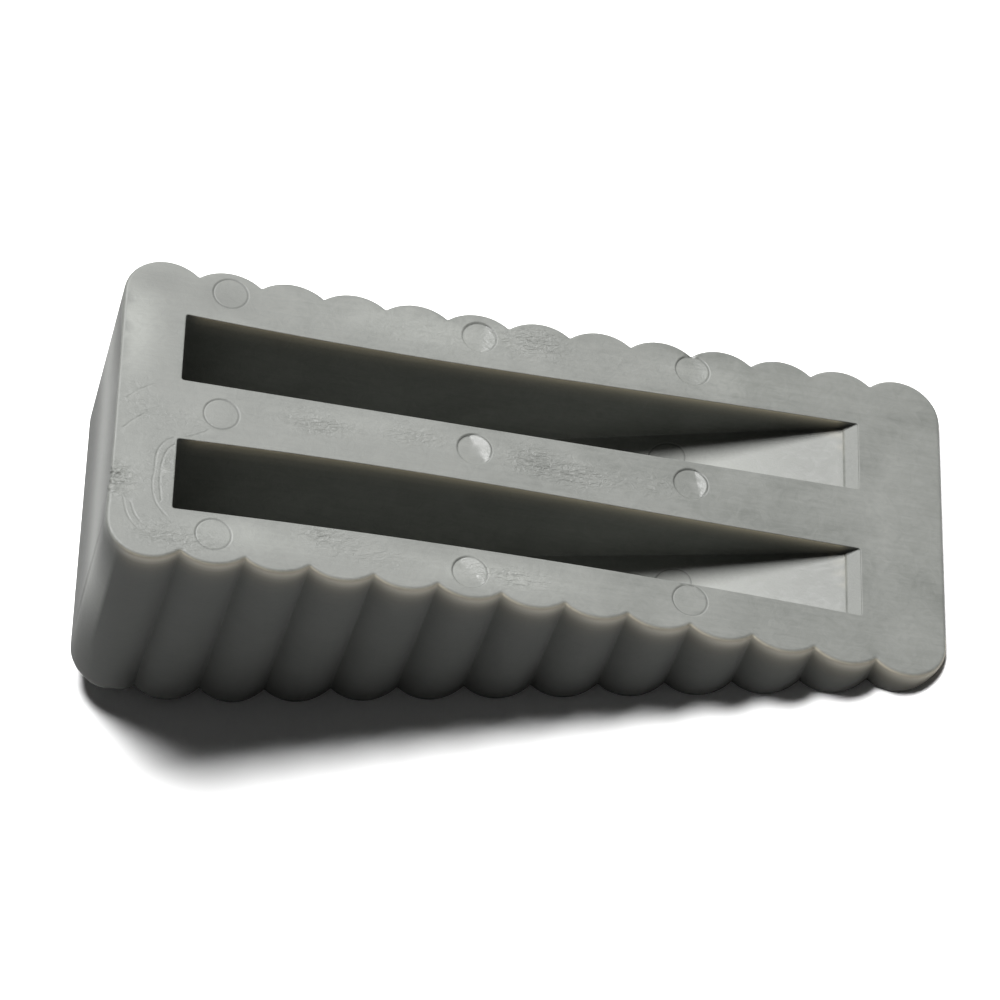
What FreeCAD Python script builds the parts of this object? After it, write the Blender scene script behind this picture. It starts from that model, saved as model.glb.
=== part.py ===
"""Door stop: a rubber door wedge with fluted long sides and two cored pockets.

The wedge is one moulding.  It is drawn first in its own drawing frame: the floor
face (the face with the pockets) lies in the plane Z = 0 and the body hangs below it,
X runs along the length from the thick end to the thin end, and Y runs across.  It is
then laid down on its long door face, pockets up, with the origin under the middle of
its bounding box.  Millimetres throughout.
"""
import FreeCAD
import Part
import math
import os

V = FreeCAD.Vector

# --- overall sizes --------------------------------------------------------------
body_length = 120.0        # along the floor face, thick end to thin end
body_width = 51.0          # over the crests of the flutes
thin_end_height = 1.5      # thickness left at the thin end
wedge_angle = 17.7         # between the floor face and the door face, degrees

# --- heel: the thick end, where the back eases off from the door face -----------
heel_length = 25.5         # from the thick end to where the door face begins
heel_angle = 11.5          # between the floor face and the heel, degrees
end_face_lean = 1.5        # how far the thick end face leans in, degrees
heel_edge_radius = 3.0     # rounding between the end face and the heel

# --- flutes down both long sides ------------------------------------------------
inner_flutes = 11          # flutes between the two corner ones, each side
flute_radius = 6.75
corner_radius = 6.3        # the corner flutes, which also round the four corners
corner_run = 10.5          # from an end to where the inner flutes begin

# --- the two pockets cored out of the floor face --------------------------------
heel_wall = 9.0            # wall left at the thick end
toe_land = 12.5            # solid length left at the thin end
rib_width = 10.4           # middle rib between the pockets
side_wall = 8.6            # from a pocket to the crests of the flutes
skin = 4.6                 # thickness left between a pocket and the door face
pocket_ramp = 1.8          # length of the short steep ramp that ends each pocket

# --- round marks left by the mould's ejector pins -------------------------------
pin_diameter = 5.0
pin_mark_depth = 0.25
pin_from_thick_end = (15.0, 51.0, 82.5)
pin_row_inset = 5.2        # outer rows, from the crests of the flutes
pocket_pin_from_thick_end = 82.5

# --- values that follow from the ones above -------------------------------------
half_width = body_width / 2.0
pocket_width = half_width - rib_width / 2.0 - side_wall
pin_row_offset = half_width - pin_row_inset
flute_pitch = (body_length - 2.0 * corner_run) / inner_flutes
wedge_slope = math.tan(math.radians(wedge_angle))
heel_slope = math.tan(math.radians(heel_angle))
knee_depth = thin_end_height + wedge_slope * (body_length - heel_length)
heel_depth = knee_depth + heel_slope * heel_length
end_lean_run = heel_depth * math.tan(math.radians(end_face_lean))
pocket_end = body_length - toe_land
cut_margin = 5.0           # how far a cutting solid stands clear of what it cuts
same_depth = 1e-6          # two depths closer than this are one and the same


def flute_circles():
    """Centres along X and radii of one side's flutes, from the thick end."""
    circles = [(corner_radius, corner_radius)]
    for index in range(inner_flutes):
        circles.append((corner_run + (index + 0.5) * flute_pitch, flute_radius))
    circles.append((body_length - corner_radius, corner_radius))
    return circles


def cusp_between(left, right):
    """Point where two neighbouring flutes meet, for crests on Y = half_width."""
    (x_left, r_left), (x_right, r_right) = left, right
    y_left = half_width - r_left
    y_right = half_width - r_right
    gap_x = x_right - x_left
    gap_y = y_right - y_left
    gap = math.hypot(gap_x, gap_y)
    along = (gap * gap + r_left * r_left - r_right * r_right) / (2.0 * gap)
    rise = math.sqrt(r_left * r_left - along * along)
    x = x_left + (along * gap_x - rise * gap_y) / gap
    y = y_left + (along * gap_y + rise * gap_x) / gap
    return x, y


def side_points():
    """End points and crests of one side's arcs, in order from the thick end."""
    circles = flute_circles()
    ends = [(0.0, half_width - corner_radius)]
    for left, right in zip(circles, circles[1:]):
        ends.append(cusp_between(left, right))
    ends.append((body_length, half_width - corner_radius))
    return circles, ends


def corner_crest(circle, start, end):
    """A point on the corner arc that lies between its two end points."""
    x_centre, radius = circle
    middle = V(start[0] + end[0] - 2.0 * x_centre,
               start[1] + end[1] - 2.0 * (half_width - radius), 0)
    middle.normalize()
    return x_centre + radius * middle.x, half_width - radius + radius * middle.y


def outline_face():
    """The wedge's outline in plan: flutes on both sides, flat at both ends."""
    circles, ends = side_points()
    edges = []
    for side in (1.0, -1.0):
        for circle, start, end in zip(circles, ends, ends[1:]):
            crest = corner_crest(circle, start, end)
            edges.append(Part.Arc(V(start[0], side * start[1], 0),
                                  V(crest[0], side * crest[1], 0),
                                  V(end[0], side * end[1], 0)).toShape())
    for x in (0.0, body_length):
        edges.append(Part.makeLine(V(x, half_width - corner_radius, 0),
                                   V(x, corner_radius - half_width, 0)))
    return Part.Face(Part.Wire(Part.__sortEdges__(edges)))


def profile_solid(points, y_low, y_high):
    """Solid between two values of Y whose side view is the polygon of points."""
    corners = [V(x, y_low, z) for x, z in points]
    face = Part.Face(Part.makePolygon(corners + corners[:1]))
    return face.extrude(V(0, y_high - y_low, 0))


def wedge_blank():
    """The wedge before it is cored: its side view crossed with its outline."""
    side_view = profile_solid(
        [(0.0, 0.0),
         (body_length, 0.0),
         (body_length, -thin_end_height),
         (heel_length, -knee_depth),
         (end_lean_run, -heel_depth)],
        -half_width - cut_margin, half_width + cut_margin)
    heel_edges = []
    for edge in side_view.Edges:
        ends = [vertex.Point for vertex in edge.Vertexes]
        if all(abs(point.z + heel_depth) < same_depth for point in ends):
            heel_edges.append(edge)
    side_view = side_view.makeFillet(heel_edge_radius, heel_edges)
    prism = outline_face().extrude(V(0, 0, -heel_depth - cut_margin))
    return side_view.common(prism)


def wedge_floor(x):
    """Depth of a pocket's floor over the door face, measured straight down."""
    surface = thin_end_height + wedge_slope * (body_length - x)
    return surface - skin / math.cos(math.radians(wedge_angle))


def heel_floor(x):
    """Depth of a pocket's floor over the heel, measured straight down."""
    surface = knee_depth + heel_slope * (heel_length - x)
    return surface - skin / math.cos(math.radians(heel_angle))


def pocket(y_low, y_high):
    """Cutting solid of one pocket; its floor keeps the skin's thickness."""
    ramp_x = pocket_end - pocket_ramp
    gap_at_knee = heel_floor(heel_length) - wedge_floor(heel_length)
    knee_x = heel_length - gap_at_knee / (wedge_slope - heel_slope)
    return profile_solid(
        [(heel_wall, cut_margin),
         (pocket_end, cut_margin),
         (pocket_end, 0.0),
         (ramp_x, -wedge_floor(ramp_x)),
         (knee_x, -wedge_floor(knee_x)),
         (heel_wall, -heel_floor(heel_wall))],
        y_low, y_high)


def pin_marks():
    """Shallow round recesses: a grid on the floor face and one in each pocket."""
    radius = pin_diameter / 2.0
    marks = []
    for x in pin_from_thick_end:
        for y in (-pin_row_offset, 0.0, pin_row_offset):
            marks.append(Part.makeCylinder(radius, cut_margin, V(x, y, -pin_mark_depth)))
    tilt = math.radians(wedge_angle)
    out_of_floor = V(-math.sin(tilt), 0, math.cos(tilt))
    for side in (-1.0, 1.0):
        middle = side * (rib_width + pocket_width) / 2.0
        x = pocket_pin_from_thick_end
        foot = V(x, middle, -wedge_floor(x)) - out_of_floor * pin_mark_depth
        marks.append(Part.makeCylinder(radius, pin_mark_depth * 2.0, foot, out_of_floor))
    return marks


def lay_down(shape):
    """Turn the wedge onto its door face and centre it over the origin."""
    shape.rotate(V(0, 0, 0), V(0, 1, 0), wedge_angle)
    box = shape.optimalBoundingBox(False, False)
    shape.translate(V(-(box.XMin + box.XMax) / 2.0, -(box.YMin + box.YMax) / 2.0, -box.ZMin))
    return shape


def wedge_body():
    """The finished moulding, which has to come out as one solid."""
    inner = rib_width / 2.0
    outer = inner + pocket_width
    cored = wedge_blank().cut([pocket(-outer, -inner), pocket(inner, outer)])
    marked = cored.cut(pin_marks()).removeSplitter()
    (moulding,) = marked.Solids
    return lay_down(moulding)


os.makedirs("parts", exist_ok=True)
wedge = wedge_body()
wedge.exportStep("parts/wedge_body.step")
extent = wedge.optimalBoundingBox(False, False)
print("valid", wedge.isValid(), "volume mm3", round(wedge.Volume, 1))
print("x", round(extent.XMin, 3), round(extent.XMax, 3))
print("y", round(extent.YMin, 3), round(extent.YMax, 3))
print("z", round(extent.ZMin, 3), round(extent.ZMax, 3))
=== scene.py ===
"""Moulded rubber door wedge, lying on its door face with its cored pockets up.

The moulding is drawn in millimetres in its drawing frame, where the floor face is the
plane Z = 0, X runs from the thick end to the thin end and the body hangs below, and is
laid down into the frame's metres at the end.
"""
import math

import bmesh
import bpy
import numpy as np
from mathutils import Matrix, Vector, noise
from mathutils.geometry import delaunay_2d_cdt


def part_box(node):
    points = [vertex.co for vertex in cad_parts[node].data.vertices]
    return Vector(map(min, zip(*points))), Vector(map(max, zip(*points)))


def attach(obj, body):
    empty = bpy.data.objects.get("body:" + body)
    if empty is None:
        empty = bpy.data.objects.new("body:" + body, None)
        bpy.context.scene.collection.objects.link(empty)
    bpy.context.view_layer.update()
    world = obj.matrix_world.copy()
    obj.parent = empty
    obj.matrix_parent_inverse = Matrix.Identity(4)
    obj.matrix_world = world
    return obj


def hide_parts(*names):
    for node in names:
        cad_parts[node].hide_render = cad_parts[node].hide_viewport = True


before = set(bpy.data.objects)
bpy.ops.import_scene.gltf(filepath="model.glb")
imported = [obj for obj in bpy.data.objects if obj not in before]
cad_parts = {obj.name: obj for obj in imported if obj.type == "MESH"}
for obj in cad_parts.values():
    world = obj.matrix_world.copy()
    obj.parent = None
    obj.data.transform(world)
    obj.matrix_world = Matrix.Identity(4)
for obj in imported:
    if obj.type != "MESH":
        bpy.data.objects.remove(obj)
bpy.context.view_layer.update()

MM = 0.001
_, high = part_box("wedge_body")

# --- sizes of the moulding, mm --------------------------------------------------
length = 120.0
half_width = 25.5
wedge_angle = math.radians(17.7)
heel_angle = math.radians(11.5)
heel_length = 25.5
thin_end = 1.5
end_lean = math.tan(math.radians(1.5))

flutes = 11
flute_radius = 6.75
corner_run = 10.5
pitch = (length - 2.0 * corner_run) / flutes
cusp_inset = flute_radius - math.sqrt(flute_radius ** 2 - pitch ** 2 / 4.0)
# the corner flute touches the end and the side, and meets its neighbour at the cusp
corner_reach = corner_run + cusp_inset
corner_radius = corner_reach - math.sqrt(corner_reach ** 2 - corner_run ** 2 - cusp_inset ** 2)

heel_wall = 9.0
toe_land = 12.5
half_rib = 5.2
pocket_outer = 16.9
skin = 4.6
ramp_run = 1.8

face_rounding = 0.5         # round the floor face
rim_rounding = 0.12         # at the pockets' rims
foot_rounding = 0.3         # under the flutes
heel_rounding = 3.6         # under the thick end
pocket_fillet = 0.16
foot_flare = 0.5            # how much further the flutes stand out at the door face
crown_height = 0.6          # how far the floor face stands proud half way along
wave_height = 0.055
wave_long, wave_wide = 11.0, 7.0
end_hollow = 0.6            # how far the thick end is sunk, and how far down it is deepest
hollow_depth = 3.0
hollow_half, hollow_blend = 17.0, 10.0
heel_blend = 3.5            # over which the flutes' foot rounding grows to the heel's
overlap = 0.12              # how far a ring runs on into the patch beside it

slope = math.tan(wedge_angle)
heel_slope = math.tan(heel_angle)
knee_depth = thin_end + slope * (length - heel_length)


# --- how the moulding bowed as it cooled ----------------------------------------
bow_half = 58.5
sway_start = 1.53
far_pull, far_sway, near_pull = 0.69, 0.40, 1.41


def bow(x):
    """Nought near both ends and one half way along."""
    return 1.0 - ((x - length / 2.0) / bow_half) ** 2


def sway(x):
    """One slow wave over the whole length."""
    return np.sin(math.pi * (x - sway_start) / bow_half)


def crown(x):
    """Height of the floor face, which stands slightly proud half way along."""
    return crown_height * bow(x)


def side_pull(x, y):
    """How far the top of a side has moved in towards the middle, as a change of Y."""
    if y > 0.0:
        return -(far_pull * bow(x) + far_sway * sway(x)) * y / half_width
    return -near_pull * bow(x) * y / half_width


def smooth_step(t):
    t = min(1.0, max(0.0, t))
    return t * t * (3.0 - 2.0 * t)


def depth_at(x):
    """Depth of the underside, door face or heel, below the floor face."""
    if x > heel_length:
        return thin_end + slope * (length - x)
    return knee_depth + heel_slope * (heel_length - x)


def pocket_depth(x):
    """Depth of a pocket's floor, which keeps the skin's thickness."""
    over_door_face = thin_end + slope * (length - x) - skin / math.cos(wedge_angle)
    over_heel = knee_depth + heel_slope * (heel_length - x) - skin / math.cos(heel_angle)
    return min(over_door_face, over_heel)


# --- Geometry Nodes helpers ------------------------------------------------------
def new_tree(name, inputs):
    """A tree with a geometry input and output and the named inputs given."""
    tree = bpy.data.node_groups.new(name, "GeometryNodeTree")
    tree.interface.new_socket("Geometry", in_out="INPUT", socket_type="NodeSocketGeometry")
    ids = {}
    for label, kind, value in inputs:
        socket = tree.interface.new_socket(label, in_out="INPUT", socket_type="NodeSocket" + kind)
        if value is not None:
            socket.default_value = value
        ids[label] = socket.identifier
    tree.interface.new_socket("Geometry", in_out="OUTPUT", socket_type="NodeSocketGeometry")
    return tree, ids


def add(tree, kind, operation=None, **values):
    """A node with its plain inputs set, or joined to the sockets given."""
    node = tree.nodes.new(kind)
    if operation:
        node.operation = operation
    for key, value in values.items():
        by_place = key[0] == "i" and key[1:].isdigit()
        socket = node.inputs[int(key[1:]) if by_place else key]
        if isinstance(value, bpy.types.NodeSocket):
            tree.links.new(value, socket)
        else:
            socket.default_value = value
    return node


def finish_tree(tree, geometry, material):
    """Make instances real, give them the material and join them to the tree's output."""
    real = add(tree, "GeometryNodeRealizeInstances", Geometry=geometry)
    coated = add(tree, "GeometryNodeSetMaterial", Geometry=real.outputs[0], Material=material)
    tree.links.new(coated.outputs[0], tree.nodes.new("NodeGroupOutput").inputs[0])


def linked(name, data):
    """A new object in the scene."""
    obj = bpy.data.objects.new(name, data)
    bpy.context.collection.objects.link(obj)
    return obj


def grown(obj, tree, ids, values):
    """The plain mesh that the tree makes of obj, with the modifier taken off."""
    modifier = obj.modifiers.new(tree.name, "NODES")
    modifier.node_group = tree
    for label, value in values.items():
        modifier[ids[label]] = value
    depsgraph = bpy.context.evaluated_depsgraph_get()
    mesh = bpy.data.meshes.new_from_object(obj.evaluated_get(depsgraph))
    obj.modifiers.remove(modifier)
    return mesh


# --- the fluted outline ----------------------------------------------------------
def outline_tree():
    """Flutes on a line, a corner flute at each end, and the same again opposite."""
    tree, ids = new_tree("fluted outline", [
        ("Flutes", "Int", flutes), ("Pitch", "Float", pitch),
        ("Flute radius", "Float", flute_radius), ("Corner radius", "Float", corner_radius),
        ("Half width", "Float", half_width), ("Length", "Float", length),
        ("Corner run", "Float", corner_run), ("Corner sweep", "Float", 2.0),
        ("Points per flute", "Int", 19), ("Material", "Material", None)])
    given = tree.nodes.new("NodeGroupInput").outputs

    def math_node(operation, a, b=0.0):
        return add(tree, "ShaderNodeMath", operation, i0=a, i1=b).outputs[0]

    half_pitch = math_node("MULTIPLY", given["Pitch"], 0.5)
    half_sweep = math_node("ARCSINE", math_node("DIVIDE", half_pitch, given["Flute radius"]))
    crest = add(tree, "GeometryNodeCurveArc", Resolution=given["Points per flute"],
                Radius=given["Flute radius"],
                **{"Start Angle": math_node("SUBTRACT", math.pi / 2, half_sweep),
                   "Sweep Angle": math_node("MULTIPLY", half_sweep, 2.0)})
    first = add(tree, "ShaderNodeCombineXYZ",
                X=math_node("ADD", given["Corner run"], half_pitch),
                Y=math_node("SUBTRACT", given["Half width"], given["Flute radius"])).outputs[0]
    step = add(tree, "ShaderNodeCombineXYZ", X=given["Pitch"]).outputs[0]
    row = add(tree, "GeometryNodeMeshLine", Count=given["Flutes"], Offset=step,
              **{"Start Location": first})
    crests = add(tree, "GeometryNodeInstanceOnPoints", Points=row.outputs[0],
                 Instance=crest.outputs[0])
    corner_y = math_node("SUBTRACT", given["Half width"], given["Corner radius"])
    corners = []
    for start, middle in (
            (math_node("SUBTRACT", math.pi, given["Corner sweep"]), given["Corner radius"]),
            (0.0, math_node("SUBTRACT", given["Length"], given["Corner radius"]))):
        arc = add(tree, "GeometryNodeCurveArc", Resolution=given["Points per flute"],
                  Radius=given["Corner radius"],
                  **{"Start Angle": start, "Sweep Angle": given["Corner sweep"]})
        place = add(tree, "ShaderNodeCombineXYZ", X=middle, Y=corner_y).outputs[0]
        corners.append(add(tree, "GeometryNodeTransform", Geometry=arc.outputs[0],
                           Translation=place).outputs[0])
    side = tree.nodes.new("GeometryNodeJoinGeometry")
    for piece in [crests.outputs[0], *corners]:
        tree.links.new(piece, side.inputs[0])
    single = add(tree, "GeometryNodeRealizeInstances", Geometry=side.outputs[0])
    wire = add(tree, "GeometryNodeCurveToMesh", Curve=single.outputs[0])
    opposite = add(tree, "GeometryNodeTransform", Geometry=wire.outputs[0],
                   Scale=(1.0, -1.0, 1.0))
    both = tree.nodes.new("GeometryNodeJoinGeometry")
    for piece in (wire.outputs[0], opposite.outputs[0]):
        tree.links.new(piece, both.inputs[0])
    welded = add(tree, "GeometryNodeMergeByDistance", Geometry=both.outputs[0], Distance=0.02)
    finish_tree(tree, welded.outputs[0], given["Material"])
    return tree, ids


def far_side_points(rubber):
    """The outline's far half, in order from the thick end to the thin end."""
    seed = linked("outline", bpy.data.meshes.new("outline"))
    tree, ids = outline_tree()
    sweep = math.pi - math.atan2(corner_radius - cusp_inset, corner_run - corner_radius)
    mesh = grown(seed, tree, ids, {"Corner sweep": sweep, "Material": rubber})
    points = np.array([v.co[:2] for v in mesh.vertices])
    bpy.data.objects.remove(seed)
    bpy.data.meshes.remove(mesh)
    far = points[points[:, 1] > 0]
    return far[np.argsort(far[:, 0])]


# --- loops -----------------------------------------------------------------------
fine_spacing = 0.2
end_strip, seam_strip, torn_enough = 1.5, 1.0, 0.03     # where the spacing has to be fine
sharp_turn = math.radians(30)


def rounded_cusps(points, reach=0.22, steps=4):
    """Replace each sharp inward corner with a small arc."""
    out = []
    count = len(points)
    for i in range(count):
        before, here, after = points[i - 1], points[i], points[(i + 1) % count]
        a, b = here - before, after - here
        turn = math.atan2(a[0] * b[1] - a[1] * b[0], a @ b)
        if abs(turn) < sharp_turn:
            out.append(here)
            continue
        p0 = here - a / np.linalg.norm(a) * reach
        p2 = here + b / np.linalg.norm(b) * reach
        for k in range(steps + 1):
            t = k / steps
            out.append((1 - t) ** 2 * p0 + 2 * t * (1 - t) * here + t * t * p2)
    return np.array(out)


def inward(points):
    """Unit vectors pointing into the loop, which runs anticlockwise."""
    ahead = np.roll(points, -1, axis=0) - points
    behind = points - np.roll(points, 1, axis=0)
    ahead /= np.linalg.norm(ahead, axis=1)[:, None]
    behind /= np.linalg.norm(behind, axis=1)[:, None]
    tangent = ahead + behind
    tangent /= np.linalg.norm(tangent, axis=1)[:, None]
    return np.stack([-tangent[:, 1], tangent[:, 0]], axis=1)


def refined(points, longest):
    """The same closed polyline with its long runs divided, finely at the tear and the seam."""
    out = []
    for a, b in zip(points, np.roll(points, -1, axis=0)):
        x, y = (a + b) / 2.0
        on_seam = x < end_strip and abs(y - ridge_y) < seam_strip
        spacing = fine_spacing if torn(x, y) > torn_enough or on_seam else longest
        parts = max(1, int(math.ceil(np.linalg.norm(b - a) / spacing)))
        for k in range(parts):
            out.append(a + (b - a) * k / parts)
    return np.array(out)


# --- painted light and shade on the skin, beside the floor face's -----------------
# painted shade: the long sides and the underside are painted darker; painted light: the pockets'
# skin is painted lighter
side_painted_shade, pocket_painted_light = 0.44, 1.35
# painted light and shade patches on the floor face: x, y, half length, half width, amount
light_and_shade_patches = [
    (2.0, 14.0, 3.0, 8.0, 0.48), (4.0, 21.5, 4.0, 2.5, -0.24), (14.0, 20.0, 5.0, 3.0, -0.20),
    (43.0, 20.5, 12.0, 3.5, 0.26), (88.0, 20.5, 9.0, 3.0, 0.22), (20.0, -19.5, 9.0, 2.5, 0.30),
    (54.0, -19.5, 12.0, 2.5, 0.28), (3.0, -9.0, 2.5, 6.0, 0.12), (34.0, 2.5, 9.0, 2.0, 0.12),
    (115.0, -8.0, 5.0, 12.0, 0.05)]


# how far down a wall's painted light and shade is reached, below a pocket's rim, a side's edge
# and the end's
pocket_tone_depth, side_tone_depth, end_tone_depth = 0.5, 2.0, 2.5
shade_start, shade_run = 104.0, 22.0           # where the pockets' painted light fades out
end_reach, end_run = 2.2, 0.03                 # X of the thick end's wall, and more per depth
band_depth, band_half = 13.0, 8.0              # the painted highlight band across the thick end
# how much lighter the band's painted highlight is, and how much darker the painted shade on the
# rest of the thick end
band_rise, band_base = 0.66, -0.52
face_limit, floor_margin = -0.5, 0.2           # tells the floor face, pockets and underside apart


def blot(x, y, at_x, at_y, long, wide):
    """One at a place on the floor face, fading out round it."""
    return np.exp(-((x - at_x) / long) ** 2 - ((y - at_y) / wide) ** 2)


def painted_pocket_light(x):
    """Painted light on a pocket's skin: painted lighter than the floor face, fading to the floor
    face's lightness near the thin end.
    """
    return 1.0 + (pocket_painted_light - 1.0) * smooth_step((shade_start - x) / shade_run)


def painted_face_shading(x, y, z):
    """Painted light and shade on the floor face, a pocket's floor or the underside: painted
    patches on the floor face, pocket floors painted lighter and the underside painted darker.
    """
    if z < face_limit:
        return painted_pocket_light(x) if z > -pocket_depth(x) - floor_margin else side_painted_shade
    return 1.0 + sum(much * blot(x, y, *patch) for *patch, much in light_and_shade_patches)


def painted_wall_shading(x, depth, wall):
    """Painted light and shade on a wall: a painted highlight band below the thick end's top edge
    with painted shade above and below it, the pockets' walls painted lighter and the sides
    painted darker.
    """
    if x < end_reach + end_run * depth:
        band = band_rise * math.exp(-((depth - band_depth) / band_half) ** 2) + band_base
        return 1.0 + band * smooth_step(depth / end_tone_depth)
    if wall > 1.0:
        return 1.0 + (painted_pocket_light(x) - 1.0) * smooth_step(depth / pocket_tone_depth)
    return 1.0 + (wall - 1.0) * smooth_step(depth / side_tone_depth)


# --- the torn spot, the mould's seam and the painted glow in the thin edges -------
nick_x, nick_y = 0.3, -13.2
nick_long, nick_wide = 1.6, 2.2
rag_height = 0.28            # of the torn rubber on the floor face
rag_depth = 1.1              # how far down the thick end it reaches
rag_out, rag_rough, rag_up = 0.15, 0.75, 0.35
ridge_y = -18.2              # the mould's seam, where the corner flute runs into the thick end
ridge_height, ridge_half = 0.11, 0.2
ridge_parting = 0.45         # half the gap between its two lines, half way down

pocket_glow, side_glow = 0.82, 0.26            # strongest share of the painted glow's colour
facing_light = 0.12                            # what is left of it on walls that face the light
pocket_fade = (0.02, 0.12, 0.15, 0.95)         # where it starts, its rise, its hold, its fade
side_fade = (0.03, 0.2, 0.3, 1.25)
pocket_middle, pockets_end = 11.0, 17.5
glow_stop = 106.0                              # just before the pockets' ramps


def torn(x, y):
    """How badly the thick end's top edge is torn here, where the moulding was pulled out."""
    return blot(x, y, nick_x, nick_y, nick_long, nick_wide)


def glow_below(depth, start, rise, hold, fade):
    """Nought at the edge, one just below it, then dying away with depth."""
    return smooth_step((depth - start) / rise) * math.exp(-max(0.0, depth - hold) / fade)


def painted_edge_glow(x, y, depth):
    """How strongly a painted glow, standing in for light through the rubber, colours the skin
    this far below the floor face; walls facing the light get little of it.
    """
    if abs(y) < pockets_end:
        shaded = y > pocket_middle or -pocket_middle < y < 0.0
        near_ends = smooth_step((glow_stop - x) / 1.5) * smooth_step((x - heel_wall) / 3.0)
        glow = pocket_glow * glow_below(depth, *pocket_fade) * near_ends
        return glow if shaded else glow * facing_light
    shaded = facing_light + (1.0 - facing_light) * smooth_step((4.0 - y) / 8.0)
    near_end = smooth_step((x - 0.5) / 4.0)
    return side_glow * glow_below(depth, *side_fade) * near_end * shaded


# --- skins -----------------------------------------------------------------------
rim_clearance = 0.2          # between a drawn line and a patch's rim
line_clearance = 0.62        # between a filling point and a line, in spacings
row_share = 0.866            # between rows of filling points, in spacings
least_area = 1e-9


class Skin:
    """Faces collected patch by patch, welded at the end."""

    def __init__(self):
        # tone holds each point's painted light and shade, glow its painted glow
        self.points, self.faces, self.glow, self.tone = [], [], [], []

    def put(self, points, wall=None):
        """Add points; wall, on a wall, is how much lighter or darker its skin is painted beside
        the floor face's, as painted light and shade.
        """
        start = len(self.points)
        for x, y, z in points:
            depth = crown(x) - z
            self.points.append((float(x), float(y), float(z)))
            self.glow.append(painted_edge_glow(x, y, depth) if wall else 0.0)
            self.tone.append(painted_wall_shading(x, depth, wall) if wall else painted_face_shading(x, y, z))
        return start

    def strip(self, upper, lower, wall, flip=False):
        """Quads between two loops with the same number of points."""
        a, b = self.put(upper, wall), self.put(lower, wall)
        count = len(upper)
        for i in range(count):
            j = (i + 1) % count
            quad = (a + i, b + i, b + j, a + j)
            self.faces.append(quad[::-1] if flip else quad)

    def sheet(self, outer, holes, spacing, height, flip=False, drawn=()):
        """A triangulated patch inside outer, round the holes and through the drawn lines."""
        loops = [outer, *holes]
        rim_points = np.concatenate(loops)
        rims = len(rim_points)
        edges, at = [], 0
        for loop in loops:
            count = len(loop)
            edges += [(at + i, at + (i + 1) % count) for i in range(count)]
            at += count
        fixed = [rim_points[:, :2]]
        for line in drawn:
            clear = in_patch(line, loops) & (distance_to(line, rim_points) > rim_clearance)
            places = at + np.cumsum(clear) - 1
            count = len(line)
            closed = np.linalg.norm(line[0] - line[-1]) < 1.0
            edges += [(places[i], places[(i + 1) % count])
                      for i in range(count if closed else count - 1)
                      if clear[i] and clear[(i + 1) % count]]
            fixed.append(line[clear])
            at += clear.sum()
        fixed = np.concatenate(fixed)
        corner, far_corner = loops[0][:, :2].min(axis=0), loops[0][:, :2].max(axis=0)
        row_gap = row_share * spacing
        across, along = (far_corner - corner)[::-1] / (row_gap, spacing)
        row, column = np.meshgrid(np.arange(int(across) + 1), np.arange(int(along) + 1))
        grid = np.stack([corner[0] + (column + 0.5 * (row % 2) + 0.3) * spacing,
                         corner[1] + (row + 0.5) * row_gap], axis=-1).reshape(-1, 2)
        grid = grid[in_patch(grid, loops)]
        grid = grid[distance_to(grid, fixed) > line_clearance * spacing]
        flat, _, triangles, sources, _, _ = delaunay_2d_cdt(
            [Vector(p) for p in np.concatenate([fixed, grid])], edges, [], 0, 1e-6)
        flat = np.array([v[:] for v in flat])
        start = self.put([
            rim_points[min(source)] if source and min(source) < rims else (x, y, height(x, y))
            for (x, y), source in zip(flat, sources)])
        triangles = [t for t in triangles if len(t) == 3]
        corners = flat[np.array(triangles)]
        good = in_patch(corners.mean(axis=1), loops)
        a, b = corners[:, 1] - corners[:, 0], corners[:, 2] - corners[:, 0]
        area = a[:, 0] * b[:, 1] - a[:, 1] * b[:, 0]
        for triangle, keep, turn in zip(triangles, good, area):
            if keep and abs(turn) > least_area:
                triangle = tuple(start + i for i in triangle)
                self.faces.append(triangle[::-1] if (turn < 0) != flip else triangle)


def distance_to(points, others):
    """How far each point is from the nearest of the others, in plan."""
    return np.min(np.linalg.norm(points[:, None, :2] - others[None, :, :2], axis=2), axis=1)


def in_patch(points, loops):
    """Which points lie inside the first loop and outside the others."""
    result = inside(points, loops[0])
    for loop in loops[1:]:
        result &= ~inside(points, loop)
    return result


def inside(points, loop):
    """Which points lie inside a closed loop."""
    x, y = points[:, 0], points[:, 1]
    result = np.zeros(len(points), bool)
    starts = loop[:, :2]
    for (x0, y0), (x1, y1) in zip(starts, np.roll(starts, -1, axis=0)):
        if y0 == y1:
            continue
        crosses = (y0 > y) != (y1 > y)
        result ^= crosses & (x < (x1 - x0) * (y - y0) / (y1 - y0) + x0)
    return result


# --- ejector-pin marks -----------------------------------------------------------
# x and y on the floor face, and how deep; then the flat ground on the pin's end: its
# bearing in degrees, how far off the pin's middle it starts and how steeply it rises
pin_marks = [
    (15.1, 21.2, 0.04, 0, 9.0, 0.0), (51.2, 20.6, 0.26, -5, 0.5, 0.10),
    (82.7, 21.0, 0.22, 10, 0.2, 0.10), (14.9, 0.2, 0.05, 0, 9.0, 0.0),
    (51.0, 1.0, 0.30, 32, 0.35, 0.20), (82.5, 1.1, 0.24, 10, 0.95, 0.20),
    (14.9, -20.0, 0.05, 0, 9.0, 0.0), (50.9, -19.8, 0.24, 45, 0.1, 0.13),
    (82.4, -18.7, 0.10, 35, 0.0, 0.05)]
pocket_marks = [(82.4, -10.0, 0.06, 0, 9.0, 0.0), (81.5, 11.9, 0.06, 0, 9.0, 0.0)]
pin_radius = 2.5
groove_half, groove_guard = 0.12, 0.28
inner_rings = ((1.9, 28), (1.1, 16))
flat_half = 2.35
seen_from_above = 0.8        # least upward part of a normal where a mark may be pressed


def ring(x, y, radius, count=44):
    """Points evenly round a circle."""
    turn = np.arange(count) * 2.0 * math.pi / count
    return np.stack([x + radius * np.cos(turn), y + radius * np.sin(turn)], axis=1)


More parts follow.
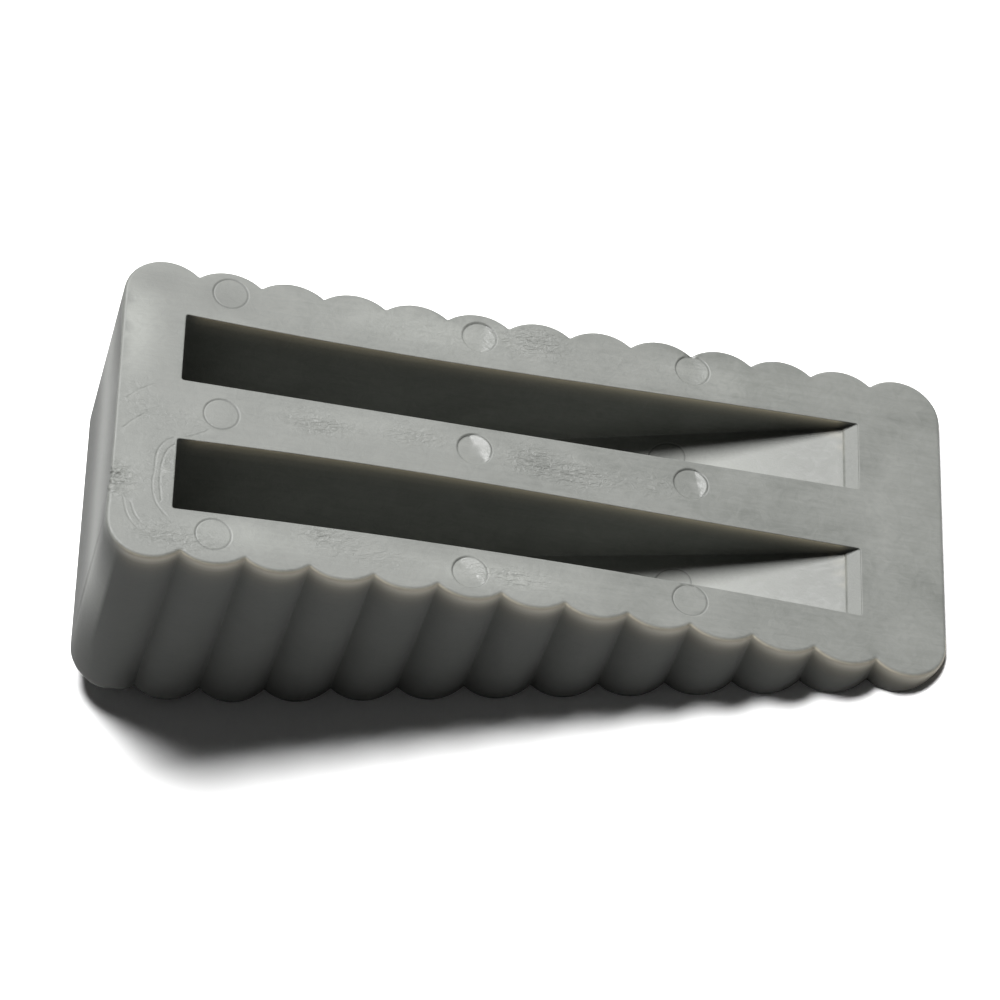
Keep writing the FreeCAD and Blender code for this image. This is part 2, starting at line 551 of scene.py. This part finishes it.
def mark_lines(marks):
    """Lines the mesh needs for the pins' rims and for the flats ground on their ends."""
    lines = []
    for x, y, _, bearing, start, rise in marks:
        lines += [ring(x, y, pin_radius + step)
                  for step in (groove_guard, groove_half, 0.0, -groove_half, -groove_guard)]
        lines += [ring(x, y, radius, count) for radius, count in inner_rings]
        if rise > 0.0:
            turn = math.radians(bearing)
            ahead = np.array((math.cos(turn), math.sin(turn)))
            across = np.array((-ahead[1], ahead[0]))
            steps = np.linspace(-flat_half, flat_half, 14)[:, None]
            lines += [(x, y) + steps * across + start * ahead]
    return lines


def pin_mark_tree():
    """Round recesses pressed into whatever surface each mark's point lies on."""
    tree, ids = new_tree("ejector pin marks", [
        ("Marks", "Object", None), ("Pin radius", "Float", pin_radius),
        ("Edge", "Float", 0.08), ("Groove", "Float", 0.10), ("Level reach", "Float", 1.6),
        ("Material", "Material", None)])
    given = tree.nodes.new("NodeGroupInput").outputs

    def number(operation, a, b=0.0):
        return add(tree, "ShaderNodeMath", operation, i0=a, i1=b).outputs[0]

    def vector(operation, a, b):
        return add(tree, "ShaderNodeVectorMath", operation, i0=a, i1=b)

    def stored(geometry, name, value):
        return add(tree, "GeometryNodeStoreNamedAttribute", Geometry=geometry, Name=name,
                   Value=value).outputs[0]

    marks = add(tree, "GeometryNodeObjectInfo", Object=given["Marks"]).outputs["Geometry"]
    here = tree.nodes.new("GeometryNodeInputPosition").outputs[0]
    nearest = add(tree, "GeometryNodeSampleNearest", Geometry=marks).outputs[0]

    def of_mark(kind, value):
        node = tree.nodes.new("GeometryNodeSampleIndex")
        node.data_type = kind
        tree.links.new(marks, node.inputs["Geometry"])
        tree.links.new(value, node.inputs["Value"])
        tree.links.new(nearest, node.inputs["Index"])
        return node.outputs[0]

    def named(kind, name):
        node = add(tree, "GeometryNodeInputNamedAttribute", Name=name)
        node.data_type = kind
        return of_mark(kind, node.outputs[0])

    centre = of_mark("FLOAT_VECTOR", here)
    away = vector("SUBTRACT", here, centre).outputs[0]
    parts = add(tree, "ShaderNodeSeparateXYZ", Vector=away).outputs
    level = add(tree, "ShaderNodeCombineXYZ", X=parts[0], Y=parts[1]).outputs[0]
    radius = vector("LENGTH", level, level).outputs["Value"]
    within = add(tree, "ShaderNodeMapRange", Value=radius,
                 **{"From Min": number("SUBTRACT", given["Pin radius"], given["Edge"]),
                    "From Max": number("ADD", given["Pin radius"], given["Edge"]),
                    "To Min": 1.0, "To Max": 0.0})
    within.interpolation_type = "SMOOTHSTEP"
    up = add(tree, "ShaderNodeSeparateXYZ",
             Vector=tree.nodes.new("GeometryNodeInputNormal").outputs[0]).outputs[2]
    facing_up = number("GREATER_THAN", up, seen_from_above)
    same_level = number("LESS_THAN", number("ABSOLUTE", parts[2]), given["Level reach"])
    allowed = number("MULTIPLY", facing_up, same_level)
    share = number("MULTIPLY", within.outputs[0], allowed)
    along = vector("DOT_PRODUCT", level, named("FLOAT_VECTOR", "flat_bearing")).outputs["Value"]
    past = number("MAXIMUM", number("SUBTRACT", along, named("FLOAT", "flat_start")), 0.0)
    climb = number("MULTIPLY", past, named("FLOAT", "flat_rise"))
    floor_lift = number("SUBTRACT", climb, named("FLOAT", "mark_depth"))
    from_rim = number("ABSOLUTE", number("SUBTRACT", radius, given["Pin radius"]))
    groove = add(tree, "ShaderNodeMapRange", Value=from_rim,
                 **{"From Min": 0.0, "From Max": groove_half,
                    "To Min": given["Groove"], "To Max": 0.0})
    cut = number("MULTIPLY", groove.outputs[0], allowed)
    lift = number("SUBTRACT", number("MULTIPLY", share, floor_lift), cut)
    moved = add(tree, "GeometryNodeSetPosition", Geometry=given["Geometry"],
                Offset=add(tree, "ShaderNodeCombineXYZ", Z=lift).outputs[0])
    on_flat = number("MULTIPLY", share, number("GREATER_THAN", climb, 0.0))
    flats = stored(moved.outputs[0], "pin_flat", on_flat)
    rims = stored(flats, "pin_rim", number("DIVIDE", cut, given["Groove"]))
    finish_tree(tree, rims, given["Material"])
    return tree, ids


def mark_points():
    """One point for each mark, on its surface, with the flat ground on its pin."""
    places = [(x, y, crown(x)) for x, y, *_ in pin_marks]
    places += [(x, y, -pocket_depth(x)) for x, y, *_ in pocket_marks]
    mesh = bpy.data.meshes.new("pin marks")
    mesh.from_pydata(places, [], [])
    every = np.array(pin_marks + pocket_marks)
    turn = np.radians(every[:, 3])
    bearing = np.stack([np.cos(turn), np.sin(turn), 0.0 * turn], axis=1)
    for name, kind, field, values in (
            ("flat_bearing", "FLOAT_VECTOR", "vector", bearing),
            ("mark_depth", "FLOAT", "value", every[:, 2]),
            ("flat_start", "FLOAT", "value", every[:, 4]),
            ("flat_rise", "FLOAT", "value", every[:, 5])):
        mesh.attributes.new(name, kind, "POINT").data.foreach_set(field, values.ravel())
    return linked("pin marks", mesh)


# --- lines and waves on the floor face ---------------------------------------------
def arc_line(corners, steps=7):
    """A smooth line that rounds the corners given."""
    corners = np.array(corners, float)
    middles = (corners[1:] + corners[:-1]) / 2.0
    out = [corners[0]]
    for k in range(1, len(corners) - 1):
        for t in np.linspace(0.0, 1.0, steps):
            out.append((1 - t) ** 2 * middles[k - 1] + 2 * t * (1 - t) * corners[k]
                       + t * t * middles[k])
    out.append(corners[-1])
    return np.array(out)


# lines left where the core's insert met the plate round the near pocket's thick end, two
# round the near corner and two scratches
witness_lines = [
    arc_line([(12.7, -3.3), (10.4, -4.6), (7.9, -5.1), (6.7, -6.6), (6.2, -8.2), (6.2, -11.1),
              (5.9, -12.9), (6.5, -16.1), (8.0, -17.8)]),
    arc_line([(9.6, -5.6), (7.9, -6.6), (7.1, -9.0), (6.9, -12.4), (7.4, -15.6)]),
    arc_line([(2.2, -16.2), (3.0, -19.6), (6.2, -22.0), (9.4, -22.2)]),
    arc_line([(3.3, -16.8), (4.1, -19.2), (6.6, -21.0), (9.0, -21.4)]),
    arc_line([(1.6, 0.6), (3.0, 2.2), (4.9, 3.4)]),
    arc_line([(1.5, -4.4), (2.6, -3.0), (4.2, -1.6)])]
witness_depth = 0.05
witness_guard = 0.3
on_line = 0.02
nick_rings = 8


def alongside(line, offset):
    """The same line moved sideways."""
    run = np.gradient(line, axis=0)
    run /= np.linalg.norm(run, axis=1)[:, None]
    return line + offset * np.stack([-run[:, 1], run[:, 0]], axis=1)


def witness_drawing():
    """The witness lines with their two edges, and rings that carry the torn edge."""
    drawn = [alongside(line, step) for line in witness_lines
             for step in (-witness_guard, -groove_half, 0.0, groove_half, witness_guard)]
    return drawn + [ring(nick_x, nick_y, 0.9 + 0.28 * k, 22 + 7 * k) for k in range(nick_rings)]


def face_height(x, y):
    """Height of the floor face: crown, slow waves from cooling, witness lines and the tear."""
    wave = wave_height * noise.noise((x / wave_long, y / wave_wide, 3.7))
    inner = min(1.0, max(0.0, (22.0 - abs(y)) / 3.0), x / 3.0, (length - x) / 6.0)
    near_line = min(np.min(np.hypot(line[:, 0] - x, line[:, 1] - y)) for line in witness_lines)
    groove = witness_depth if near_line < on_line else 0.0
    rag = rag_height * torn(x - 0.5, y) * noise.noise((2.4 * x, 1.6 * y - 1.1 * x, 9.0))
    return crown(x) + wave * max(0.0, inner) - groove + rag


# how far each pocket's walls bow in and how far they sway: the inner wall, then the outer
pocket_walls = {1.0: ((0.39, 0.0), (1.43, 0.32)), -1.0: ((0.53, 0.28), (1.09, 0.0))}


def pocket_rim(side):
    """Rim of one pocket, anticlockwise, with its sides pulled in by cooling."""
    x = np.linspace(heel_wall, length - toe_land, 110)
    inner, outer = (wall - bowed * bow(x) - swayed * sway(x) for wall, (bowed, swayed)
                    in zip((half_rib, pocket_outer), pocket_walls[side]))
    lower, upper = (inner, outer) if side > 0 else (-outer, -inner)
    rim = np.concatenate([np.stack([x, lower], axis=1), np.stack([x, upper], axis=1)[::-1]])
    return refined(rounded_cusps(rim, reach=0.4), 1.1)


side_rings, wall_rings = 18, 12


def quarter(steps):
    """Share of a rounding's radius across and down, from its start to its end."""
    turn = np.linspace(0.0, math.pi / 2.0, steps + 1)
    return list(zip(np.sin(turn), 1.0 - np.cos(turn)))


def outer_rings(loop):
    """Rings from the floor face over the edge, down the side and under the foot."""
    normal = inward(loop)
    x, y = loop.T
    total = np.array([depth_at(v) for v in x])
    at_thick_end = np.array([smooth_step((corner_run - v) / heel_blend) for v in x])
    foot = foot_rounding + (heel_rounding - foot_rounding) * at_thick_end
    lean = np.array([smooth_step((corner_run - v) / corner_run) for v in x])
    pull = np.array([side_pull(u, v) for u, v in loop])
    hollow = lean * np.array([smooth_step((hollow_half - abs(v)) / hollow_blend) for v in y])
    crest = np.clip((np.abs(y) - half_width + cusp_inset) / cusp_inset, 0.0, 1.0)
    flare = foot_flare * crest * np.sign(y)

    def ring_at(depth, inset):
        """The loop this far down the side, moved in by inset from the side's line."""
        share = np.clip(depth / total, 0.0, 1.0)
        px = x + normal[:, 0] * inset + end_lean * depth * lean
        sunk = depth / hollow_depth
        px = px + end_hollow * hollow * sunk * np.exp(1.0 - sunk)
        rag = torn(x, y) * np.exp(-depth / rag_depth)
        grit = np.array([noise.noise((2.1 * v, 1.7 * d, 5.0)) for v, d in zip(y, depth)])
        px = px + rag * (rag_out + rag_rough * grit)
        parted = ridge_parting * np.sin(math.pi * share)
        seam = sum(np.exp(-((y - ridge_y + side * parted) / ridge_half) ** 2)
                   for side in (-1.0, 1.0))
        fading = np.sin(math.pi * np.clip(0.06 + share, 0.0, 1.0))
        px = px - ridge_height * seam * (x < 2.0) * fading
        py = y + normal[:, 1] * inset + pull * (1.0 - share) + flare * share
        drop = np.array([depth_at(v) for v in px]) - total
        pz = -depth - drop * share + crown(px) * (1.0 - share) + rag_up * rag * grit
        return np.stack([px, py, pz], axis=1)

    none = np.zeros(len(loop))
    rings = [ring_at(none, none + face_rounding + overlap)]
    for across, down in quarter(5):
        rings.append(ring_at(none + face_rounding * down, none + face_rounding * (1.0 - across)))
    for step in range(1, side_rings + 1):
        share = (step / (side_rings + 1.0)) ** 1.7
        rings.append(ring_at(face_rounding + (total - foot - face_rounding) * share, none))
    for across, down in quarter(7):
        rings.append(ring_at(total - foot + foot * across, foot * down))
    rings.append(ring_at(total, foot + overlap))
    return rings


def pocket_rings(rim):
    """Rings from the floor face over a pocket's rim and down its walls to its floor."""
    into = inward(rim)
    foot = rim.copy()
    thin_wall = length - toe_land
    foot[:, 0] = np.interp(rim[:, 0], (heel_wall, thin_wall), (heel_wall, thin_wall - ramp_run))
    floor = np.array([-pocket_depth(v) for v in foot[:, 0]])
    top = crown(rim[:, 0])
    rings = [np.column_stack([rim - into * (rim_rounding + 0.1), top])]
    for across, down in quarter(4):
        rings.append(np.column_stack([rim - into * rim_rounding * (1.0 - across),
                                      top - rim_rounding * down]))
    start = top - rim_rounding
    end = floor + pocket_fillet
    for step in range(1, wall_rings + 1):
        share = (step / wall_rings) ** 1.5
        rings.append(np.column_stack([rim + (foot - rim) * share, start + (end - start) * share]))
    foot_in = inward(foot)
    for across, down in quarter(3)[1:]:
        rings.append(np.column_stack([foot + foot_in * pocket_fillet * down,
                                      end - pocket_fillet * across]))
    rings[-1][:, 2] = [-pocket_depth(v) for v in rings[-1][:, 0]]
    return rings


def build_moulding(rubber):
    """The outer skin, the two pockets, the floor face and the underside."""
    skins = Skin()
    far = far_side_points(rubber)
    near = far * np.array([1.0, -1.0])
    outline = rounded_cusps(np.concatenate([near, far[::-1]]))
    outline = refined(refined(outline, 1.0), 1.0)
    rings = outer_rings(outline)
    for upper, lower in zip(rings, rings[1:]):
        skins.strip(upper, lower, side_painted_shade)
    rims = []
    for side, marks in ((1.0, [pocket_marks[1]]), (-1.0, [pocket_marks[0]])):
        levels = pocket_rings(pocket_rim(side))
        for upper, lower in zip(levels, levels[1:]):
            skins.strip(upper, lower, pocket_painted_light, flip=True)
        skins.sheet(levels[-1], [], 1.5, lambda x, y: -pocket_depth(x),
                    drawn=mark_lines(marks))
        rims.append(levels[0])
    skins.sheet(rings[0], rims, 1.25, face_height,
                drawn=mark_lines(pin_marks) + witness_drawing())
    skins.sheet(rings[-1], [], 2.4, lambda x, y: -depth_at(x), flip=True)
    return skins


# where the rubber cooled unevenly as it met: x, y, half length, half width, strength
flow_patches = [
    (28.5, 1.0, 5.0, 1.6, 0.9), (42.5, 1.6, 5.0, 1.5, 0.7), (59.0, 0.6, 4.0, 2.2, 1.0),
    (66.5, -0.6, 5.0, 2.2, 1.0), (77.0, -0.4, 4.0, 2.0, 0.5), (30.2, -17.4, 3.2, 1.2, 0.9),
    (57.0, -19.7, 6.0, 1.6, 0.8), (59.0, 21.2, 4.2, 2.4, 1.0), (1.2, -13.0, 2.2, 2.6, 0.9),
    (7.0, -21.0, 4.0, 2.0, 0.35), (12.0, -21.5, 5.0, 2.2, 0.35), (7.0, -10.0, 3.5, 6.0, 0.22),
    (3.0, 0.5, 2.5, 3.5, 0.3), (36.0, -19.5, 9.0, 2.5, 0.35), (10.0, -1.0, 5.0, 2.5, 0.25),
    (44.0, 19.5, 12.0, 3.0, 0.25), (75.0, 19.5, 14.0, 3.0, 0.25)]


def flow_marks(points):
    """How strongly each point of the floor face shows flow marks."""
    x, y, z = points.T
    strength = sum(much * blot(x, y, *patch) for *patch, much in flow_patches)
    return np.where(z > -0.8, strength, 0.0)


sheen_half = 9.0
sheen_rise, sheen_base = 0.75, -0.85


def skin_sheen(points):
    """How much smoother the skin is: the thick end has a band that is less dull, and the
    rest of it and the long sides are dull."""
    x, y, z = points.T
    on_end = np.clip((end_reach - end_run * z - x) / 0.8, 0.0, 1.0) * (z < -0.3)
    band = np.exp(-((z + band_depth) / sheen_half) ** 2)
    side = np.clip((-0.6 - z) / 1.5, 0.0, 1.0) * (np.abs(y) > pockets_end)
    return on_end * (sheen_rise * band + sheen_base) - (1.0 - on_end) * side


def laid_down(points):
    """Drawing frame, mm, to the frame the wedge lies in, metres."""
    x, y, z = points.T
    c, s = math.cos(wedge_angle), math.sin(wedge_angle)
    start = high[0] / MM - length * c
    top = high[2] / MM
    return np.stack([x * c + z * s + start, y, -x * s + z * c + top], axis=1) * MM


dark_rubber = (0.090, 0.094, 0.086, 1)
pale_rubber = (0.140, 0.144, 0.134, 1)
painted_glow_colour = (0.84, 0.745, 0.55, 1)           # painted colour of light glowing through a thin edge
roughness = 0.585
# painted shade in the pin marks' grooves
groove_painted_shade = -0.45
bump_height = 0.00035


def rubber_material():
    """Semi-matt moulded rubber: faint streaks along the wedge and crinkled flow marks, with
    painted light and shade, painted shade in the pins' grooves and a painted glow at the thin
    edges.
    """
    material = bpy.data.materials.new("grey_rubber")
    material.use_nodes = True
    tree = material.node_tree
    shader = tree.nodes["Principled BSDF"]
    shader.inputs["IOR"].default_value = 1.47

    def number(operation, a, b=0.0, c=0.0):
        return add(tree, "ShaderNodeMath", operation, i0=a, i1=b, i2=c).outputs[0]

    def mapped(place, scale, rotation=(0.0, 0.0, 0.0)):
        return add(tree, "ShaderNodeMapping", Vector=place, Scale=scale,
                   Rotation=rotation).outputs[0]

    def pattern(place, scale, detail, rough=0.5, distortion=0.0):
        return add(tree, "ShaderNodeTexNoise", Vector=place, Scale=scale, Detail=detail,
                   Roughness=rough, Distortion=distortion).outputs[0]

    def stored(name):
        attribute = tree.nodes.new("ShaderNodeAttribute")
        attribute.attribute_name = name
        return attribute.outputs["Fac"]

    def mixed(share, first, second):
        mix = tree.nodes.new("ShaderNodeMix")
        mix.data_type = "RGBA"
        tree.links.new(share, mix.inputs[0])
        for socket, value in ((mix.inputs[6], first), (mix.inputs[7], second)):
            if isinstance(value, bpy.types.NodeSocket):
                tree.links.new(value, socket)
            else:
                socket.default_value = value
        return mix.outputs[2]

    def varied(value, by, share):
        """The value, raised and lowered about itself by a noise pattern."""
        return number("MULTIPLY_ADD", number("SUBTRACT", by, 0.5), share, value)

    place = tree.nodes.new("ShaderNodeTexCoord").outputs["Object"]
    flat = mapped(place, (1.0 / MM,) * 3, (0.0, -wedge_angle, 0.0))
    streaks = pattern(mapped(flat, (0.13, 1.5, 1.5)), 1.0, 7.0, 0.72, 0.5)
    crinkle = pattern(mapped(flat, (0.55, 1.25, 1.0)), 1.35, 4.0, 0.55, 1.4)
    clouds = pattern(flat, 0.07, 3.0, distortion=0.8)
    smudge = pattern(flat, 0.42, 5.0, 0.65, 2.2)
    grain = pattern(flat, 9.0, 2.0)
    flow = stored("flow_mark")
    folds = number("MULTIPLY", number("SUBTRACT", crinkle, 0.5), flow)

    tone = number("MULTIPLY_ADD", clouds, 0.6, number("MULTIPLY", streaks, 0.4))
    tone = number("MULTIPLY_ADD", folds, 0.35, tone)
    tone = number("MULTIPLY_ADD", flow, 0.12, tone)
    tone = varied(tone, smudge, 0.45)
    tone = add(tree, "ShaderNodeMapRange", Value=tone,
               **{"From Min": 0.3, "From Max": 0.7}).outputs[0]
    colour = mixed(tone, dark_rubber, pale_rubber)
    # painted light and shade from the skin, darkened by painted shade in the pin marks' grooves
    share = number("MULTIPLY", stored("painted_light_and_shade"),
                   number("MULTIPLY_ADD", stored("pin_rim"), groove_painted_shade, 1.0))
    toned = add(tree, "ShaderNodeVectorMath", "SCALE", i0=colour, Scale=share).outputs[0]
    # painted glow of light through the thin edges, mixed into the base colour
    warm = mixed(stored("painted_edge_glow"), toned, painted_glow_colour)
    tree.links.new(warm, shader.inputs["Base Color"])

    sheen = varied(varied(varied(roughness, streaks, 0.25), clouds, 0.25), smudge, 0.3)
    for name, much in (("pin_flat", -0.17), ("flow_mark", -0.06), ("skin_sheen", -0.25)):
        sheen = number("MULTIPLY_ADD", stored(name), much, sheen)
    tree.links.new(sheen, shader.inputs["Roughness"])

    height = number("MULTIPLY_ADD", folds, 1.5, number("MULTIPLY", streaks, 0.12))
    height = number("MULTIPLY_ADD", smudge, 0.10, height)
    height = number("MULTIPLY_ADD", grain, 0.03, height)
    bump = add(tree, "ShaderNodeBump", Height=height, Distance=bump_height, Strength=0.8)
    tree.links.new(bump.outputs[0], shader.inputs["Normal"])
    return material


def store(mesh, name, values):
    mesh.attributes.new(name, "FLOAT", "POINT").data.foreach_set("value", values)


def welded_blank(moulding):
    """The patches as one closed mesh in the drawing frame."""
    mesh = bpy.data.meshes.new("blank")
    mesh.from_pydata(moulding.points, [], moulding.faces)
    store(mesh, "painted_edge_glow", moulding.glow)
    store(mesh, "painted_light_and_shade", moulding.tone)
    tool = bmesh.new()
    tool.from_mesh(mesh)
    bmesh.ops.remove_doubles(tool, verts=tool.verts, dist=weld)
    tool.to_mesh(mesh)
    tool.free()
    return linked("blank", mesh)


weld = 0.002
rubber = rubber_material()
blank = welded_blank(build_moulding(rubber))
marks = mark_points()
tree, ids = pin_mark_tree()
mesh = grown(blank, tree, ids, {"Marks": marks, "Material": rubber})
bpy.data.objects.remove(blank)
bpy.data.objects.remove(marks)
places = np.empty(len(mesh.vertices) * 3)
mesh.vertices.foreach_get("co", places)
drawn = places.reshape(-1, 3)
mesh.vertices.foreach_set("co", laid_down(drawn).ravel())
store(mesh, "flow_mark", flow_marks(drawn))
store(mesh, "skin_sheen", skin_sheen(drawn))
mesh.polygons.foreach_set("use_smooth", [True] * len(mesh.polygons))
mesh.update()
mesh.name = "fluted_wedge"
wedge = linked("fluted_wedge", mesh)
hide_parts("wedge_body")
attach(wedge, "root")

# --- the table and the light -----------------------------------------------------
floor_mesh = bpy.data.meshes.new("table")
floor_mesh.from_pydata([(-3, -3, 0), (3, -3, 0), (3, 3, 0), (-3, 3, 0)], [], [(0, 1, 2, 3)])
table = linked("table", floor_mesh)
white = bpy.data.materials.new("white_table")
white.use_nodes = True
table_shader = white.node_tree.nodes["Principled BSDF"]
table_shader.inputs["Base Color"].default_value = (0.80, 0.80, 0.80, 1)
table_shader.inputs["Roughness"].default_value = 0.6
floor_mesh.materials.append(white)

key_bearing, key_height, key_distance = math.radians(102), math.radians(65.5), 0.75
key_place = key_distance * Vector((math.cos(key_height) * math.cos(key_bearing),
                                   math.cos(key_height) * math.sin(key_bearing),
                                   math.sin(key_height)))
middle_of_wedge = Vector((0.0, 0.0, 0.02))


def aimed(lamp, direction):
    lamp.rotation_euler = direction.to_track_quat("-Z", "Y").to_euler()


softbox = bpy.data.lights.new("key_softbox", "AREA")
softbox.shape = "RECTANGLE"
softbox.size, softbox.size_y = 0.38, 0.28
softbox.energy = 10.4
key_lamp = linked("key_softbox", softbox)
key_lamp.location = key_place
aimed(key_lamp, middle_of_wedge - key_place)
even_light = bpy.data.lights.new("even_light", "SUN")
even_light.energy = 2.8
even_light.angle = math.radians(20)
aimed(linked("even_light", even_light), -key_place)

# a pale backdrop up to just above the horizon, and a dim ceiling
world = bpy.data.worlds.new("studio")
world.use_nodes = True
backdrop = world.node_tree
backdrop.nodes["Background"].inputs["Color"].default_value = (1, 1, 1, 1)
upward = add(backdrop, "ShaderNodeSeparateXYZ",
             Vector=backdrop.nodes.new("ShaderNodeTexCoord").outputs["Generated"]).outputs[2]
level = add(backdrop, "ShaderNodeMapRange", Value=upward,
            **{"From Min": 0.06, "From Max": 0.12, "To Min": 0.68, "To Max": 0.045}).outputs[0]
backdrop.links.new(level, backdrop.nodes["Background"].inputs["Strength"])
bpy.context.scene.world = world
bpy.context.scene.view_settings.view_transform = "Standard"

# --- camera ----------------------------------------------------------------------
camera_data = bpy.data.cameras.new("camera")
camera_data.sensor_width = 36.0
camera_data.lens = 181.494
camera_data.clip_start = 0.05
camera = linked("camera", camera_data)
camera_place = Vector((0.04805, -0.40814, 0.59731))
right = Vector((0.9975, 0.0232, -0.0672)).normalized()
forward = Vector((-0.0684, 0.5705, -0.8185)).normalized()
up = right.cross(forward).normalized()
right = forward.cross(up).normalized()
turn = Matrix((right, up, -forward)).transposed().to_4x4()
camera.matrix_world = Matrix.Translation(camera_place) @ turn
bpy.context.scene.camera = camera

bpy.context.view_layer.update()
